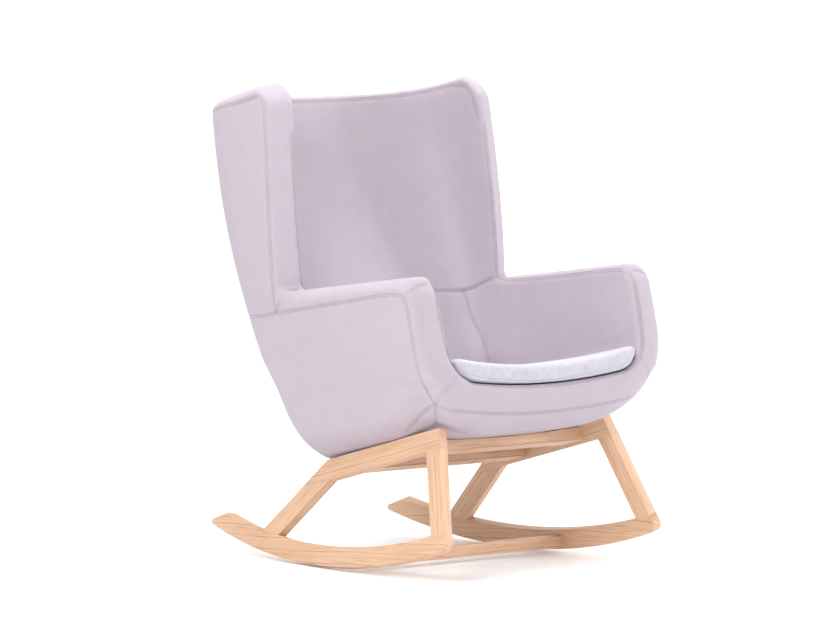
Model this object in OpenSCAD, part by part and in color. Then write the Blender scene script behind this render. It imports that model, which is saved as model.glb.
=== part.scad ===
// Rocking chair: an upholstered wing-back shell on an ash rocking base, with a loose seat cushion.
// Millimetres. +X is the chair's left-to-right width, the chair faces -Y, +Z is up, the floor is z = 0.

/* [Rocking base] */
// thickness of every base board
board_t = 22; // [18:1:28]
// width of every base board, seen from the side
board_w = 44; // [36:1:50]
// how far each side frame leans inwards going up, degrees
splay = 14; // [8:0.5:18]
// how far each side frame turns outwards towards the front, degrees
toe = 3.5; // [0:0.5:5]
// radius of the runners' lower edge
runner_radius = 1397; // [1100:1:1800]
// distance from the middle plane to each side frame's outer face at the floor
foot_half = 293; // [270:1:320]
// height of the top rail's front corner, along the side frame
rail_front_h = 321; // [300:1:330]
// fall of the top rail towards the rear, degrees
rail_slope = 15.2; // [12:0.1:18]
// length of the top rail's upper edge
rail_length = 374; // [340:1:400]
// forward lean of the front leg going down, degrees
front_lean = 22.6; // [15:0.1:28]
// angle of the rear leg above the horizontal, degrees
rear_angle = 43; // [38:0.5:50]
// depth of the two planks under the shell
plank_d = 60; // [50:1:70]
// distance from the rail's front corner to the front plank, along the rail
front_plank_at = 72; // [60:1:90]
// distance from the rail's front corner to the rear plank, along the rail
rear_plank_at = 262; // [240:1:280]
// dowel diameter in the base
dowel_d = 8; // [6:1:10]

/* [Shell] */
// half width of the shell at the wings and the back
shell_half = 306; // [296:1:312]
// height of the wings' front top corner
shell_h = 1013; // [970:1:1050]
// height of the arms at their front
arm_h = 632; // [610:1:650]
// height of the padding's joint line between the seat tub and the upper pads
rim_z = 420; // [410:1:430]
// thickness of the steel bars inside the padding
bar_t = 4; // [3:1:6]
// thickness of the plywood seat board
seat_board_t = 12; // [9:1:15]

/* [Seat cushion] */
// thickness of the loose cushion in the middle
cushion_t = 42; // [30:1:50]
// half width of the loose cushion
cushion_half = 250; // [230:1:252]

/* [Hidden] */
$fn = 48;
round_fn = 360;          // facets of the very large runner arcs
hole_gap = 0.2;          // extra diameter of a dowel hole
lift = board_t * sin(splay);

// ---- side frame, drawn flat: u runs forwards from the floor contact, v runs up the splayed board ----
contact_y = 20;          // where the runners touch the floor, measured along Y
u_front = 342;           // the top rail's front corner, forwards of the floor contact
arc_u = -8;              // the runners' lowest point, so that it lies under the chair's centre of mass
arc_rise = board_w;      // runner height above the contact point
top_radius = runner_radius + 64;
rail_a = [u_front, rail_front_h];
rail_low = rail_a + board_w * [sin(rail_slope), -cos(rail_slope)];
front_dir = front_lean - 90;
leg_back = rail_a - board_w * [cos(front_lean), sin(front_lean)];
rail_d = rail_a - rail_length * [cos(rail_slope), sin(rail_slope)];
rear_low = rail_d + board_w * [sin(rear_angle), -cos(rear_angle)];

// crossing point of the line through p at angle a with the line through q at angle b
function meet(p, a, q, b) =
    let (t = ((q[0] - p[0]) * sin(b) - (q[1] - p[1]) * cos(b)) / sin(b - a))
    p + t * [cos(a), sin(a)];

rail_k = meet(rail_low, rail_slope, rail_a, front_dir);
rail_b = meet(rail_low, rail_slope, leg_back, front_dir);
rail_e = meet(rail_low, rail_slope, rear_low, rear_angle);
rail_j = meet(rail_low, rail_slope, rail_d, rear_angle);

// height of the runner's upper edge at u
function top_v(u) = arc_rise + top_radius - sqrt(top_radius * top_radius - u * u);
// height of the runner's lower edge at u
function low_v(u) = runner_radius - sqrt(runner_radius * runner_radius - pow(u - arc_u, 2));

// centre of a rounding of radius r that touches the line through p at angle a and the lower arc
function round_centre(p, a, r, way) =
    let (q = p + r * way, d = [cos(a), sin(a)], c = [arc_u, runner_radius],
         b = (q - c) * d, k = (q - c) * (q - c) - pow(runner_radius - r, 2),
         t1 = -b + sqrt(b * b - k), t2 = -b - sqrt(b * b - k),
         t = abs(t1) < abs(t2) ? t1 : t2)
    q + t * d;
function arc_points(c, r, a0, a1, n) =
    [for (i = [0 : n]) let (a = a0 + (a1 - a0) * i / n) c + r * [cos(a), sin(a)]];

nose_r = 17;             // rounding of the runner's front lower corner
tail_r = 7;              // rounding of the runner's tail tip
tail_u = -332;           // where the tail's taper starts on the upper edge
tail_fall = 19;          // slope of the tail's taper, degrees
nose_p = rail_a + 235 * [cos(front_dir), sin(front_dir)];
tail_m = [tail_u, top_v(tail_u)];
tail_p = tail_m - 60 * [cos(tail_fall), sin(tail_fall)];
nose_c = round_centre(nose_p, front_dir, nose_r, -[cos(front_lean), sin(front_lean)]);
tail_c = round_centre(tail_p, tail_fall, tail_r, [sin(tail_fall), -cos(tail_fall)]);
nose_end = atan2(nose_c[1] - runner_radius, nose_c[0] - arc_u);
tail_end = atan2(tail_c[1] - runner_radius, tail_c[0] - arc_u);

runner_outline = concat(
    [rail_a + 150 * [cos(front_dir), sin(front_dir)]],
    arc_points(nose_c, nose_r, front_lean, nose_end, 6),
    [[300, -30], [-300, -30]],
    arc_points(tail_c, tail_r, tail_end, tail_fall - 270, 8),
    [tail_m, tail_m + [0, 60]]);

// dowels of one side frame: middle point and direction of each
function pair_at(p, q, a) = [for (f = [0.27, 0.73]) [p + f * (q - p), a]];
rear_foot_l = meet([-167, top_v(-167)], -6.5, rail_d, rear_angle);
rear_foot_r = meet([-167, top_v(-167)], -6.5, rear_low, rear_angle);
foot_mid_f = meet([408, top_v(408)], 16.2, rail_a, front_dir);
foot_mid_b = meet([408, top_v(408)], 16.2, leg_back, front_dir);
frame_dowels = concat(
    pair_at(rail_k, rail_b, front_dir),
    pair_at(rail_j, rail_e, rear_angle),
    pair_at(foot_mid_f, foot_mid_b, front_dir),
    pair_at(rear_foot_l, rear_foot_r, rear_angle));
dowel_l = 44;

// ---- shell surfaces ----
rear_n = 5;              // squareness of the shell's rear corners outside
top_fall = 0.25;         // fall of the shell's upper edge towards the rear
side_bulge = 19.5;       // how far the wings bow outwards between seat and crown
side_wall = 57;          // thickness of the wings
back_wall = 78;          // thickness of the back at the seat
tub_slope = cos(splay) * tan(rail_slope);

// height of the shell's lowest line at y, between the rails
function keel_z(y) = 211.9 - tub_slope * y;
// upper edge height at y
function crown_z(y) = shell_h - top_fall * (y - 165);
// outer and inner plan outline: a runs from -90 (left wing front) over 0 (back middle) to 90
function bow(a, n) = [sign(a) * pow(abs(sin(a)), 2 / n), pow(abs(cos(a)), 2 / n)];
function side_w(t) = shell_half + side_bulge * sin(180 * pow(t, 0.9));
function rear_y(t) = 212 + 290 * t - 80.9 * t * t;
// squareness of the shell's rear corners inside
function inner_n(t) = 6 - 3 * pow(t, 3);
function corner_cut(t) = 45 * pow(max(0, t - 0.9) / 0.1, 2);
function outer_xy(a, t) =
    let (b = bow(a, rear_n), f = 92 + 62 * t + corner_cut(t))
    [side_w(t) * b[0], f + (rear_y(t) - f) * b[1]];
function inner_xy(a, t) =
    let (b = bow(a, inner_n(t)), f = 50 + 75 * t + corner_cut(t))
    [(side_w(t) - side_wall) * b[0], f + (rear_y(t) - back_wall - 12 * t - f) * b[1]];
function upper_point(q, t, z0) = [q[0], q[1], z0 + t * (crown_z(q[1]) - z0)];
function outer_pt(a, t) = upper_point(outer_xy(a, t), t, rim_z);
function inner_pt(a, t) = upper_point(inner_xy(a, t), t, rim_z);

seat_z = 400;            // top of the seat padding at the middle of its front edge
seat_edge_y = -403;      // front edge of the seat
seat_fall = 0.13;        // fall of the seat towards the rear
seat_back_y = 120;       // where the seat padding starts to rise to the back
seat_half = 262;         // half width of the seat between the arms
tub_front = -300;
tub_nose = 108;
tub_half = 309;          // half width of the tub at the front of the seat
tub_rear = 29;
tub_tail = 184;
tail_lean = 0.7;         // slope of the tub's rear below the rim
seat_dish = 12;          // rise of the seat's front edge at 190 mm from the middle
seat_flat = 300;         // length over which that rise fades out towards the rear
seat_corner = 62;        // radius of the hollow between the seat and the arms
// height of the hollow's arc where it is k from its tangent point
function hollow_rise(k) = seat_corner - sqrt(pow(seat_corner, 2) - pow(max(0, min(seat_corner, k)), 2));
// the seat without its corners: falls to the rear and is dished at the front
function seat_line(x, y) =
    seat_z - seat_fall * (y - seat_edge_y)
    + seat_dish * pow(x / 190, 2) * max(0, 1 - (y - seat_edge_y) / seat_flat);
// top of the seat padding: curves up at the arms and the back
function floor_z(x, y) =
    y < seat_back_y ? seat_line(x, y) + hollow_rise(abs(x) - seat_half + seat_corner) : rim_z;
// seat tub stations: [y, lowest z, half width, squareness of the section at its sides, and below]
function front_station(b) =
    let (q = [pow(sin(b), 2 / 2), pow(cos(b), 2 / 2)])
    [tub_front - tub_nose * q[0], seat_z - (seat_z - keel_z(tub_front)) * q[1],
     tub_half - 15 * q[0] * q[0], 3.3 - 0.9 * q[0], 1.5];
function rear_station(b) =
    let (q = [pow(sin(b), 2 / 4), pow(cos(b), 2 / 4)], z = rim_z - (rim_z - keel_z(tub_rear)) * q[1])
    [tub_rear + (tub_tail + tail_lean * (z - rim_z)) * q[0], z,
     shell_half * pow(1 - pow(q[0], 5), 1 / 5), 3.6 - 0.6 * q[0], 3.6 - 0.6 * q[0]];
tub_stations = concat(
    [for (b = [78, 66, 52, 38, 24, 12]) front_station(b)],
    [for (i = [0 : 6]) let (y = tub_front + i * (tub_rear - tub_front) / 6)
        [y, keel_z(y), tub_half + (shell_half - tub_half) * i / 6, 3.3 + 0.3 * i / 6, 1.5 + 2.1 * i / 6]],
    [for (b = [4, 12, 24, 36, 48, 60, 69, 70, 76, 82, 88]) rear_station(b)]);
low_rim = rim_z - 3;
function tub_low(s, a) =
    [s[2] * sign(a) * pow(abs(sin(a)), 2 / s[3]), s[0],
     low_rim - (low_rim - s[1]) * pow(abs(cos(a)), 2 / s[4])];
// places across the seat where its top is set out, as shares of the seat's half width
top_steps = [0, 0.25, 0.5, 0.7, 0.8, 0.86, 0.9, 0.935, 0.965, 0.985, 1];
function top_x(s, i) =
    let (k = min(seat_half, 0.85 * s[2])) i < 11 ? k * top_steps[i] : i < 12 ? (k + s[2]) / 2 : s[2];
function low_at(s, x) =
    low_rim - (low_rim - s[1]) * pow(max(0, 1 - pow(abs(x) / s[2], s[3])), 1 / s[4]);
function tub_top(s, i) =
    let (x = sign(i) * top_x(s, abs(i))) [x, s[0], min(rim_z, max(floor_z(x, s[0]), low_at(s, x) + 4))];

// closed solid between two grids of points that share their size
module slab(outer, inner) {
    m = len(outer);
    n = len(outer[0]);
    pts = concat([for (r = outer) for (p = r) p], [for (r = inner) for (p = r) p]);
    k = m * n;
    function id(i, j) = i * n + j;
    front = [for (i = [0 : m - 2]) for (j = [0 : n - 2])
        for (f = [[id(i, j), id(i, j + 1), id(i + 1, j + 1)], [id(i, j), id(i + 1, j + 1), id(i + 1, j)]]) f];
    back = [for (f = front) [f[0] + k, f[2] + k, f[1] + k]];
    ends = [for (i = [0 : m - 2])
        for (f = [[id(i, 0), id(i + 1, 0), id(i + 1, 0) + k], [id(i, 0), id(i + 1, 0) + k, id(i, 0) + k],
                  [id(i + 1, n - 1), id(i, n - 1), id(i + 1, n - 1) + k],
                  [id(i, n - 1), id(i, n - 1) + k, id(i + 1, n - 1) + k]]) f];
    sides = [for (j = [0 : n - 2]) for (e = [[id(0, j + 1), id(0, j)], [id(m - 1, j), id(m - 1, j + 1)]])
        for (f = [[e[0], e[1], e[1] + k], [e[0], e[1] + k, e[0] + k]]) f];
    polyhedron(points = pts, faces = concat(front, back, ends, sides), convexity = 8);
}

// closed solid through a row of rings, capped from each end ring's middle
module loft(rings) {
    m = len(rings);
    n = len(rings[0]);
    function mid(r) = [for (c = [0 : 2]) [for (p = r) p[c]] * [for (p = r) 1] / n];
    pts = concat([for (r = rings) for (p = r) p], [mid(rings[0]), mid(rings[m - 1])]);
    walls = [for (i = [0 : m - 2]) for (j = [0 : n - 1]) let (e = (j + 1) % n)
        for (f = [[i * n + j, i * n + e, (i + 1) * n + e], [i * n + j, (i + 1) * n + e, (i + 1) * n + j]]) f];
    caps = [for (j = [0 : n - 1]) let (e = (j + 1) % n)
        for (f = [[m * n, e, j], [m * n + 1, (m - 1) * n + j, (m - 1) * n + e]]) f];
    polyhedron(points = pts, faces = concat(walls, caps), convexity = 6);
}

// ---- placing ----
// a child drawn flat in (u, v) with its outer face on z = 0 is stood up as the left side frame
module left_frame() {
    translate([-foot_half, contact_y, lift])
        rotate([0, 0, -toe]) rotate([0, splay, 0]) rotate([90, 0, -90]) children();
}
module on_side(side) {
    if (side < 0) left_frame() children();
    else mirror([1, 0, 0]) left_frame() children();
}
// a child drawn with y along the rail's fall and z square to it, origin over the rail's front corner
deck_y = contact_y - u_front;
deck_z = keel_z(deck_y);
deck_tilt = atan(tub_slope);
module on_deck() {
    translate([0, deck_y, deck_z]) rotate([-deck_tilt, 0, 0]) children();
}

// ---- wooden base ----
module dowel_pins(list, d, l) {
    for (p = list)
        translate([p[0][0], p[0][1], -board_t / 2]) rotate([0, 0, p[1]]) rotate([0, 90, 0])
            cylinder(d = d, h = l, center = true);
}
module runner(side) {
    color([0.87, 0.72, 0.53]) on_side(side) difference() {
        intersection() {
            translate([0, 0, -board_t]) linear_extrude(board_t) polygon(runner_outline);
            translate([arc_u, runner_radius, -board_t - 1])
                cylinder(r = runner_radius, h = board_t + 2, $fn = round_fn);
        }
        translate([0, arc_rise + top_radius, -board_t - 1])
            cylinder(r = top_radius, h = board_t + 2, $fn = round_fn);
        dowel_pins(frame_dowels, dowel_d + hole_gap, dowel_l + 2);
        stretcher_pins(dowel_d - 2 + hole_gap, pin_l + 1);
    }
}
module leg(points, side) {
    color([0.89, 0.75, 0.56]) on_side(side) difference() {
        intersection() {
            translate([0, 0, -board_t]) linear_extrude(board_t) polygon(points);
            translate([0, arc_rise + top_radius, -board_t - 1])
                cylinder(r = top_radius, h = board_t + 2, $fn = round_fn);
        }
        dowel_pins(frame_dowels, dowel_d + hole_gap, dowel_l + 2);
    }
}
module front_leg(side) {
    d = 215 * [cos(front_dir), sin(front_dir)];
    leg([rail_k, rail_b, rail_b + d, rail_k + d], side);
}
module rear_leg(side) {
    d = -260 * [cos(rear_angle), sin(rear_angle)];
    leg([rail_e, rail_j, rail_j + d, rail_e + d], side);
}
module top_rail(side) {
    color([0.9, 0.76, 0.57]) on_side(side) difference() {
        translate([0, 0, -board_t]) linear_extrude(board_t)
            polygon([rail_a, rail_k, rail_j, rail_d]);
        dowel_pins(frame_dowels, dowel_d + hole_gap, dowel_l + 2);
        plank_pins(dowel_d + hole_gap, pin_l + 1);
    }
}
// everything outside the inner faces of both side frames
module outside() {
    for (side = [-1, 1])
        on_side(side) translate([-900, -400, -board_t]) cube([1800, 1400, 900]);
}
// dowels of the planks, in the side frame's flat drawing
pin_l = 36;
plank_drop = board_w / 2;
module plank_pins(d, l) {
    for (s = [front_plank_at, rear_plank_at], k = [14, plank_d - 14]) {
        p = rail_a - (s + k) * [cos(rail_slope), sin(rail_slope)]
            + plank_drop * [sin(rail_slope), -cos(rail_slope)];
        translate([p[0], p[1], -board_t]) cylinder(d = d, h = l, center = true);
    }
}
stretcher_u = 150;
stretcher_h = 26;
module stretcher_pins(d, l) {
    for (k = [-6, 6])
        translate([stretcher_u - 11, low_v(stretcher_u) + 22 + k, -board_t])
            cylinder(d = d, h = l, center = true);
}
dish_r = 3000;           // hollow of each plank's upper face
dish_gap = 1;            // room between the planks and the shell's lowest line
module plank(at) {
    difference() {
        on_deck() translate([-260, at, -board_t]) cube([520, plank_d, board_t + 12]);
        on_deck() translate([0, at - 1, dish_r - dish_gap]) rotate([-90, 0, 0])
            cylinder(r = dish_r, h = plank_d + 2, $fn = round_fn);
        outside();
        for (side = [-1, 1]) on_side(side) plank_pins(dowel_d + hole_gap, pin_l + 1);
        shell_fixings(6.6);
        on_deck() for (p = bolt_at) translate([p[0], p[1], -40]) cylinder(d = 19, h = 40 - head_z);
    }
}
module front_crossbar() { color([0.88, 0.73, 0.54]) plank(front_plank_at); }
module rear_crossbar() { color([0.88, 0.73, 0.54]) plank(rear_plank_at); }
module low_stretcher() {
    color([0.86, 0.71, 0.52]) difference() {
        translate([-330, contact_y - stretcher_u, 12]) cube([660, 22, stretcher_h]);
        outside();
        for (side = [-1, 1]) on_side(side) stretcher_pins(dowel_d - 2 + hole_gap, pin_l + 1);
    }
}
module leg_dowels() {
    color([0.8, 0.66, 0.46]) for (side = [-1, 1]) on_side(side) dowel_pins(frame_dowels, dowel_d, dowel_l);
}
module crossbar_dowels() {
    color([0.8, 0.66, 0.46]) for (side = [-1, 1]) on_side(side) plank_pins(dowel_d, pin_l);
}
module stretcher_dowels() {
    color([0.8, 0.66, 0.46]) for (side = [-1, 1]) on_side(side) stretcher_pins(dowel_d - 2, pin_l);
}

// ---- shell fixings: bolts up through both planks into nuts on the seat board ----
head_z = 15.4;           // depth of the washer's seat below the shell's lowest line
bolt_at = [for (s = [front_plank_at, rear_plank_at]) for (x = [-90, 90]) [x, s + plank_d / 2]];
board_low = 20;          // foam and cover between the planks and the seat board
module shell_fixings(d) {
    on_deck() for (p = bolt_at)
        translate([p[0], p[1], -40]) cylinder(d = d, h = 48 + board_low + seat_board_t);
}
module shell_bolts() {
    color([0.55, 0.56, 0.58]) on_deck() for (p = bolt_at) translate([p[0], p[1], 0]) {
        translate([0, 0, -head_z - 1.9]) cylinder(d = 6, h = head_z + 1.9 + board_low + seat_board_t + 4);
        translate([0, 0, -head_z - 5.9]) difference() {
            cylinder(d = 10, h = 4);
            translate([0, 0, -1]) cylinder(d = 4.6, h = 3.4, $fn = 6);
        }
    }
}
module bolt_washers() {
    color([0.7, 0.71, 0.73]) on_deck() for (p = bolt_at) translate([p[0], p[1], -head_z - 1.9]) difference() {
        cylinder(d = 18, h = 1.9);
        translate([0, 0, -1]) cylinder(d = 6.6, h = 4);
    }
}
module t_nuts() {
    color([0.7, 0.71, 0.73]) on_deck() for (p = bolt_at)
        translate([p[0], p[1], board_low + seat_board_t]) difference() {
            cylinder(d = 20, h = 2);
            translate([0, 0, -1]) cylinder(d = 6, h = 4);
        }
}

// ---- inner frame of the shell ----
board_half = 145;
board_y0 = 20;
board_y1 = 330;
module seat_board() {
    color([0.78, 0.62, 0.42]) difference() {
        seat_board_blank();
        shell_fixings(6.6);
    }
}
module seat_board_blank() {
    on_deck() translate([-board_half, board_y0, board_low])
        cube([2 * board_half, board_y1 - board_y0, seat_board_t]);
}
// U-shaped flat bar from one arm, over the seat board, to the other
rib_at = [46, 215];
rib_w = 30;
rib_z = board_low + seat_board_t;
rib_h = [245, 205];
function mirrored(p) = [for (i = [len(p) - 1 : -1 : 0]) [-p[i][0], p[i][1]]];
module shell_ribs() {
    color([0.35, 0.36, 0.38]) difference() {
        ribs();
        on_deck() for (p = screw_at) translate([p[0], p[1], rib_z - 1]) cylinder(d = 4.4, h = bar_t + 2);
    }
}
module ribs() {
    for (i = [0, 1]) {
        o = rib_half(280, rib_z, rib_h[i]);
        n = [for (p = rib_half(280 - bar_t, rib_z + bar_t, rib_h[i])) [-p[0], p[1]]];
        on_deck() translate([0, rib_at[i] + rib_w, 0]) rotate([90, 0, 0]) linear_extrude(rib_w)
            polygon(concat(o, mirrored(o), n, mirrored(n)));
    }
}
function rib_half(r, z, h) = concat(
    [[r, h]],
    [for (i = [0 : 8]) let (a = i * 90 / 8) [r - 120 + 120 * cos(a), z + 110 - 110 * sin(a)]]);
// two upright flat bars from the seat board up inside the back
upright_x = 118;
upright_w = 30;
function mid_y(t) = (outer_xy(0, t)[1] + inner_xy(0, t)[1]) / 2;
function mid_z(t) = rim_z + t * (crown_z(mid_y(t)) - rim_z);
up_top = 0.86;
// side view of the point at depth d along the rail and height h over the planks, as [y, z]
function deck_pt(d, h) =
    [deck_y + d * cos(deck_tilt) + h * sin(deck_tilt), deck_z - d * sin(deck_tilt) + h * cos(deck_tilt)];
module uprights() {
    n = 5;
    foot = [for (d = [250, 325]) deck_pt(d, rib_z) + [0, bar_t]];
    bend = [[78, 272], [135, 340]];
    front = concat(foot, bend,
        [for (i = [0 : n]) let (t = 0.03 + (up_top - 0.03) * i / n) [mid_y(t), mid_z(t)]]);
    back = [for (i = [len(front) - 1 : -1 : 0]) front[i] + (i < 2 ? [0, -bar_t] : [bar_t + 1, -1])];
    for (x = [-upright_x, upright_x])
        translate([x - upright_w / 2, 0, 0]) rotate([90, 0, 90]) linear_extrude(upright_w)
            polygon(concat(front, back));
}
module back_uprights() { color([0.35, 0.36, 0.38]) uprights(); }
// two bent flat bars round the back, from wing to wing
hoop_t = [0.34, 0.76];
hoop_w = 30;
hoop_off = 18;           // the hoops pass behind the uprights
function hoop_line(t, off) = [for (i = [0 : 24])
    let (a = -84 + 7 * i, o = outer_xy(a, t), n = inner_xy(a, t)) n + (o - n) * (0.5 + off / norm(o - n))];
module hoops() {
    for (t = hoop_t) translate([0, 0, mid_z(t) - hoop_w / 2]) linear_extrude(hoop_w)
        polygon(concat(hoop_line(t, hoop_off), [for (i = [24 : -1 : 0]) hoop_line(t, hoop_off + bar_t)[i]]));
}
module back_hoops() { color([0.35, 0.36, 0.38]) hoops(); }
screw_at = [for (i = [0, 1]) for (x = [-120, -40, 40, 120]) [x, rib_at[i] + rib_w / 2]];
module rib_screws() { color([0.75, 0.7, 0.5]) screws(4); }
module screws(d) {
    on_deck() for (p = screw_at) translate([p[0], p[1], rib_z + bar_t]) {
        cylinder(d = 8, h = 2.4);
        translate([0, 0, -12]) cylinder(d = d, h = 12);
    }
}

// ---- padding ----
back_a = 52;             // where the back padding meets the wings
function spread(n) = [for (i = [0 : n]) i / n];
module back_pad() {
    color([0.78, 0.72, 0.77]) difference() {
        slab([for (t = spread(10)) [for (i = [-8 : 8]) outer_pt(back_a * i / 8, t)]],
             [for (t = spread(10)) [for (i = [-8 : 8]) inner_pt(back_a * i / 8, t)]]);
        uprights();
        hoops();
    }
}
module wing_pad(side) {
    mirror([side < 0 ? 1 : 0, 0, 0]) difference() {
        slab([for (t = spread(10)) [for (i = [0 : 8]) outer_pt(back_a + (90 - back_a) * i / 8, t)]],
             [for (t = spread(10)) [for (i = [0 : 8]) inner_pt(back_a + (90 - back_a) * i / 8, t)]]);
        hoops();
    }
}
arm_ring = [[309, 420], [328, 455], [338, 500], [342, 548], [340, 590], [329, 617], [311, 630],
            [290, 632], [273, 625], [266, 608], [262, 510], [260, 420]];
arm_back = 60;
arm_fall = 0.131;        // fall of the arms' upper edge towards the rear
function arm_top(y) = arm_h - arm_fall * (y + 330);
function arm_front(x, z) = -362 - 0.27 * (614 - z) + 26 * pow(max(0, x - 285) / 57, 2);
function arm_section(f) = [for (p = arm_ring)
    let (y1 = arm_back + 32 * (p[0] - 260) / 60 + 0.07 * (p[1] - 420) - 8,
         y0 = arm_front(p[0], p[1]),
         y = y0 + (y1 - y0) * f,
         k = (arm_top(y) - 420) / (632 - 420))
    [p[0] - 14 * max(0, f - 0.6) * (p[0] > 300 ? 1 : 0), y, rim_z + (p[1] - 420) * k]];
module arm_pad(side) {
    mirror([side < 0 ? 1 : 0, 0, 0]) difference() {
        loft([for (f = [0, 0.12, 0.3, 0.5, 0.7, 0.88, 1]) arm_section(f)]);
        ribs();
    }
}
module wing_pad_left() { color([0.8, 0.74, 0.79]) wing_pad(-1); }
module wing_pad_right() { color([0.8, 0.74, 0.79]) wing_pad(1); }
module arm_pad_left() { color([0.82, 0.76, 0.81]) arm_pad(-1); }
module arm_pad_right() { color([0.82, 0.76, 0.81]) arm_pad(1); }
module seat_pad() {
    color([0.8, 0.74, 0.79]) difference() {
        slab([for (s = tub_stations) [for (i = [-12 : 12]) tub_low(s, 90 * i / 12)]],
             [for (s = tub_stations) [for (i = [-12 : 12]) tub_top(s, i)]]);
        seat_board_blank();
        ribs();
        uprights();
        screws(4.4);
        shell_fixings(21);
    }
}

// ---- loose cushion ----
cush_y0 = seat_edge_y;
cush_y1 = 108;
function cush_half(y) =
    let (q = (y - (cush_y0 + cush_y1) / 2) / ((cush_y1 - cush_y0) / 2 + 2))
    cushion_half * pow(1 - pow(abs(q), 16), 1 / 16) * (y > 0 ? 1 - 0.15 * pow(y / cush_y1, 2) : 1);
function cush_edge(x, y) =
    let (f = abs(2 * (y - cush_y0) / (cush_y1 - cush_y0) - 1),
         e = min(1 - pow(abs(x) / cush_half(y), 10), 1 - pow(f, 10)))
    0.45 + 0.55 * pow(max(0, e), 0.5);
cush_gap = 2.5;           // room between the cushion and the seat padding
cush_lip = 9;            // least thickness of the cushion, along its sides
function cush_point(x, y, top) =
    let (low = floor_z(x, y), high = seat_line(x, y) + cushion_t * cush_edge(x, y))
    [x, y, cush_gap + (top == 0 ? low : max(low + cush_lip, high))];
module seat_cushion() {
    ys = [for (f = [0, 0.02, 0.06, 0.15, 0.3, 0.5, 0.7, 0.85, 0.94, 0.98, 1])
        cush_y0 + f * (cush_y1 - cush_y0)];
    xs = [-1, -0.97, -0.9, -0.75, -0.5, -0.25, 0, 0.25, 0.5, 0.75, 0.9, 0.97, 1];
    color([0.84, 0.85, 0.9])
        slab([for (y = ys) [for (s = xs) cush_point(s * cush_half(y), y, 0)]],
             [for (y = ys) [for (s = xs) cush_point(s * cush_half(y), y, 1)]]);
}

module runner_left() { runner(-1); }
module runner_right() { runner(1); }
module front_leg_left() { front_leg(-1); }
module front_leg_right() { front_leg(1); }
module rear_leg_left() { rear_leg(-1); }
module rear_leg_right() { rear_leg(1); }
module top_rail_left() { top_rail(-1); }
module top_rail_right() { top_rail(1); }

runner_left();
runner_right();
front_leg_left();
front_leg_right();
rear_leg_left();
rear_leg_right();
top_rail_left();
top_rail_right();
front_crossbar();
rear_crossbar();
low_stretcher();
leg_dowels();
crossbar_dowels();
stretcher_dowels();
shell_bolts();
bolt_washers();
t_nuts();
seat_board();
shell_ribs();
rib_screws();
back_uprights();
back_hoops();
seat_pad();
arm_pad_left();
arm_pad_right();
wing_pad_left();
wing_pad_right();
back_pad();
seat_cushion();
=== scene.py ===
import math
import bpy
import bmesh
import numpy as np
from mathutils import Matrix, Vector
from mathutils.bvhtree import BVHTree
from mathutils.kdtree import KDTree


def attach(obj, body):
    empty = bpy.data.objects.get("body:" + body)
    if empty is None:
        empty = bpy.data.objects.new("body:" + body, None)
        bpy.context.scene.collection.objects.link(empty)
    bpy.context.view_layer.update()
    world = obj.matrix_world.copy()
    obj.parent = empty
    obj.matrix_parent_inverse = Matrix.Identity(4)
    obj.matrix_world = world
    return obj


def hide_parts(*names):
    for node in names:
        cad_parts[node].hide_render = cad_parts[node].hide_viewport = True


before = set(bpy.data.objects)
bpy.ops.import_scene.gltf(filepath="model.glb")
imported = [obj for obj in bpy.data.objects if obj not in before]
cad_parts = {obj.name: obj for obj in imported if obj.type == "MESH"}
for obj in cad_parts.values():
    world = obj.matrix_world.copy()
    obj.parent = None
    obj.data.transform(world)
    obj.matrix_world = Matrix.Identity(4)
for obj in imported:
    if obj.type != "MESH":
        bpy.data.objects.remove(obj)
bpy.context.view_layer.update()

MM = 0.001

# ---------------------------------------------------------------- the shell's driving sizes, in mm
RIM = 422.0              # level at which the side walls stop being part of the rounded hull
WALL_FOOT = 420.0        # level from which the walls are measured up to the crown
SPLAY = math.radians(14)
RAIL_SLOPE = math.radians(15.2)
TUB_SLOPE = math.cos(SPLAY) * math.tan(RAIL_SLOPE)
KEEL = 211.9             # height of the shell's lowest line at y = 0
CROWN, CROWN_FALL, CROWN_Y = 1013.0, 0.25, 165.0
SIDE, SIDE_BULGE, SIDE_WALL, BACK_WALL = 306.0, 19.5, 57.0, 78.0
ARM_LOW, ARM_SWELL, ARM_IN = 306.0, 32.0, 262.0
ARM_TOP, ARM_FALL, ARM_FRONT = 632.0, 0.131, -330.0
NOSE_Y, NOSE_LEN = -300.0, 112.0
HEEL_Y, HEEL_LEAN, HEEL_N = 29.0, 460.0, 5.0
TUB_N, TUB_M = 3.3, 1.5
SEAT_Z, SEAT_DISH, SEAT_FALL, SEAT_FRONT, SEAT_CORNER = 400.0, 12.0, 0.13, -403.0, 62.0
DISH_LENGTH, DISH_HALF = 300.0, 190.0
END_Y = -100.0           # in front of this the hull is closed by the nose, behind it by the heel


def keel(y):
    return KEEL - TUB_SLOPE * y


def crown(y):
    return CROWN - CROWN_FALL * (y - CROWN_Y)


def arm_top(y):
    return ARM_TOP - ARM_FALL * (y - ARM_FRONT)


def fade(y):
    """1 at the seat's front edge, 0 from DISH_LENGTH behind it."""
    return np.clip(1 - (y - SEAT_FRONT) / DISH_LENGTH, 0, 1)


def seat_top(x, y):
    return SEAT_Z - SEAT_FALL * (y - SEAT_FRONT) + SEAT_DISH * (x / DISH_HALF) ** 2 * fade(y)


def ramp(v, lo, hi):
    """0 below lo, 1 above hi, and a smooth step between."""
    s = np.clip((v - lo) / (hi - lo), 0.0, 1.0)
    return s * s * (3 - 2 * s)


def side_w(t):
    return SIDE + SIDE_BULGE * np.sin(np.pi * np.clip(t, 0, 1) ** 0.9)


def rear_y(t):
    return 212.0 + 290.0 * t - 80.9 * t * t


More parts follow.
